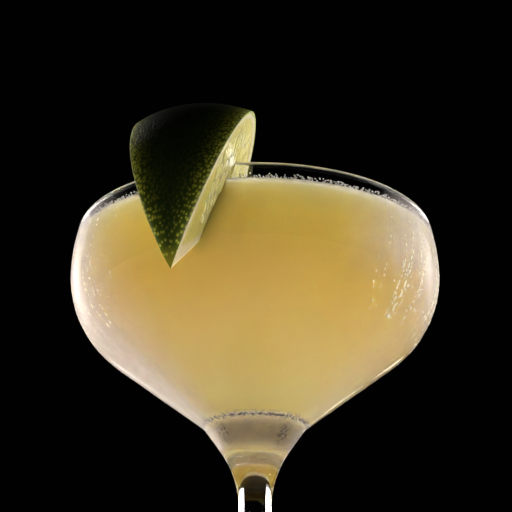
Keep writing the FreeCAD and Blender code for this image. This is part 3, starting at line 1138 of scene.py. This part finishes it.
class MARGARITA_OT_lime(bpy.types.Operator):
    """Lime wedge with pored peel, pith and cut faces, slit onto the rim"""

    bl_idname = "margarita.lime"
    bl_label = "Cut Lime Wedge"

    def execute(self, context):
        settings = context.scene.margarita.lime
        materials = [flesh_material(settings), peel_material(settings)]
        piece = new_piece("lime_wedge_body", *wedge_mesh(settings), materials)
        cut_away(piece, slit_mesh(settings.slit_gap))
        mesh = piece.data
        points = vertex_array(mesh)
        values = anatomy(points, settings)
        depth = values.pop("depth")
        local = WEDGE.local(points)
        turn = np.arctan2(local[:, 0], local[:, 2])
        places = np.clip(local[:, 1] / WEDGE.half_length, -1, 1)
        values["pore"] = 0.9 * peel_relief(settings, turn, places, np.random.default_rng(7))
        write_values(mesh, values)
        for polygon in mesh.polygons:
            corners = list(polygon.vertices)
            outer = depth[corners].max() < 0.35 * MM
            level = np.abs(turn[corners]).mean() < WEDGE.half_angle - 1e-4
            polygon.material_index = 1 if outer and level else 0
        mesh.shade_smooth()
        mesh.set_sharp_from_angle(angle=math.radians(38))
        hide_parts("lime_wedge")
        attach(piece, "root")
        return {"FINISHED"}


class MARGARITA_OT_sacs(bpy.types.Operator):
    """Juice sacs on the two cut faces of the wedge"""

    bl_idname = "margarita.sacs"
    bl_label = "Add Juice Sacs"

    def execute(self, context):
        settings = context.scene.margarita.lime
        piece = new_piece("lime_juice_sacs", *sacs_mesh(settings), [sac_material(settings)])
        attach(piece, "root")
        return {"FINISHED"}


def soft_light(name, place, target, size, power, tint, spread, reflected):
    """A rectangular soft box that faces a target and isn't in view; reflected says if gloss shows it."""
    data = bpy.data.lights.new(name, "AREA")
    data.shape = "RECTANGLE"
    data.size, data.size_y = size
    data.energy = power
    data.color = tint
    light = bpy.data.objects.new(name, data)
    light.location = place
    light.rotation_euler = (Vector(target) - Vector(place)).to_track_quat("-Z", "Y").to_euler()
    light.visible_camera = False
    light.visible_glossy = reflected
    data.spread = math.radians(spread)
    bpy.context.scene.collection.objects.link(light)


def graded_light(name, place, target, size, power, tint, spread, steps=5):
    """Nested soft boxes that gloss shows, so that their reflection fades towards its edges."""
    way = (Vector(target) - Vector(place)).normalized()
    for step in range(steps):
        scale = 1 - step / steps
        spot = Vector(place) + way * step * MM
        nested = (size[0] * scale, size[1] * scale)
        soft_light(f"{name}_{step}", spot, target, nested, power * scale**2 / steps, tint, spread, True)


def set_lights():
    """Large boxes light the drink from behind, glows and strips show in the gloss, small boxes fill in."""
    aim, neck, low, rim = (0, 0, 0.13), (0, 0, 0.09), (0, -0.02, 0.10), (0, -0.01, RIM_Z)
    left, right, face = (-0.03, -0.01, 0.14), (0.03, -0.01, 0.14), (-0.01, -0.045, 0.13)
    pale = (1.0, 0.98, 0.97)
    soft_light("left_box", (-0.38, 0.31, 0.20), aim, (0.34, 0.32), 1.00, (1.0, 0.94, 0.92), 60, False)
    soft_light("right_box", (0.38, 0.31, 0.20), aim, (0.34, 0.32), 0.67, (1.0, 0.95, 0.93), 60, False)
    graded_light("left_glow", (-0.33, 0.37, 0.24), aim, (0.20, 0.32), 0.13, (1.0, 0.95, 0.94), 60)
    graded_light("right_glow", (0.40, 0.28, 0.27), aim, (0.22, 0.24), 0.10, (1.0, 0.95, 0.91), 60)
    soft_light("left_strip", (-0.30, 0.22, 0.52), aim, (0.10, 0.03), 0.022, pale, 60, True)
    soft_light("right_strip", (0.30, 0.22, 0.52), aim, (0.10, 0.03), 0.02, pale, 60, True)
    soft_light("left_rear", (-0.17, 0.47, 0.10), neck, (0.03, 0.10), 0.0015, pale, 40, True)
    soft_light("right_rear", (0.17, 0.47, 0.10), neck, (0.03, 0.10), 0.0010, pale, 40, True)
    soft_light("low_box", (0, -0.15, 0.01), low, (0.24, 0.06), 0.065, (1.0, 0.97, 0.93), 44, False)
    soft_light("top_box", (0, 0.20, 0.48), rim, (0.20, 0.10), 0.014, pale, 40, False)
    soft_light("left_side", (-0.34, 0.10, 0.19), left, (0.08, 0.12), 0.027, (1.0, 0.96, 0.95), 30, False)
    soft_light("right_side", (0.34, 0.10, 0.20), right, (0.08, 0.12), 0.012, (1.0, 0.96, 0.94), 30, False)
    soft_light("side_box", (0.34, -0.08, 0.19), face, (0.08, 0.12), 0.022, (1.0, 0.96, 0.92), 30, False)


class MARGARITA_OT_stage(bpy.types.Operator):
    """Pale floor, soft lights and the camera"""

    bl_idname = "margarita.stage"
    bl_label = "Set Stage"

    def execute(self, context):
        scene, settings = context.scene, context.scene.margarita.stage
        outline = [(0, -0.1 * MM), (settings.floor_radius, -0.1 * MM)]
        outline += [(settings.floor_radius, -10 * MM), (0, -10 * MM)]
        new_piece("floor", *turned(outline, 96), [floor_material(settings)], smooth=False)
        world = bpy.data.worlds.new("studio")
        world.use_nodes = True
        world.node_tree.nodes["Background"].inputs["Color"].default_value = rgba(settings.backdrop)
        scene.world = world
        scene.view_settings.view_transform = "Standard"
        set_lights()
        camera = bpy.data.objects.new("camera", bpy.data.cameras.new("camera"))
        camera.data.lens = settings.lens
        camera.data.shift_x = settings.shift
        camera.data.clip_start = 0.01
        camera.location = (0, -settings.distance, settings.height)
        camera.rotation_euler = (math.pi / 2 + settings.tilt, 0, 0)
        scene.collection.objects.link(camera)
        scene.camera = camera
        return {"FINISHED"}


OPERATORS = (
    MARGARITA_OT_glass,
    MARGARITA_OT_drink,
    MARGARITA_OT_froth,
    MARGARITA_OT_mist,
    MARGARITA_OT_drops,
    MARGARITA_OT_lime,
    MARGARITA_OT_sacs,
    MARGARITA_OT_stage,
)


class MARGARITA_PT_build(bpy.types.Panel):
    """The steps of the margarita, in order"""

    bl_label = "Margarita"
    bl_idname = "MARGARITA_PT_build"
    bl_space_type = "VIEW_3D"
    bl_region_type = "UI"
    bl_category = "Margarita"

    def draw(self, context):
        for operator in OPERATORS:
            self.layout.operator(operator.bl_idname)


SETTINGS = (
    CoupeSettings,
    DrinkSettings,
    FrothSettings,
    CondensationSettings,
    LimeSettings,
    StageSettings,
    MargaritaSettings,
)


def register():
    for made in (*SETTINGS, *OPERATORS, MARGARITA_PT_build):
        bpy.utils.register_class(made)
    bpy.types.Scene.margarita = PointerProperty(type=MargaritaSettings)


def unregister():
    del bpy.types.Scene.margarita
    for made in reversed((*SETTINGS, *OPERATORS, MARGARITA_PT_build)):
        bpy.utils.unregister_class(made)


def main():
    register()
    for operator in OPERATORS:
        group, name = operator.bl_idname.split(".")
        getattr(getattr(bpy.ops, group), name)()


if __name__ == "__main__":
    main()
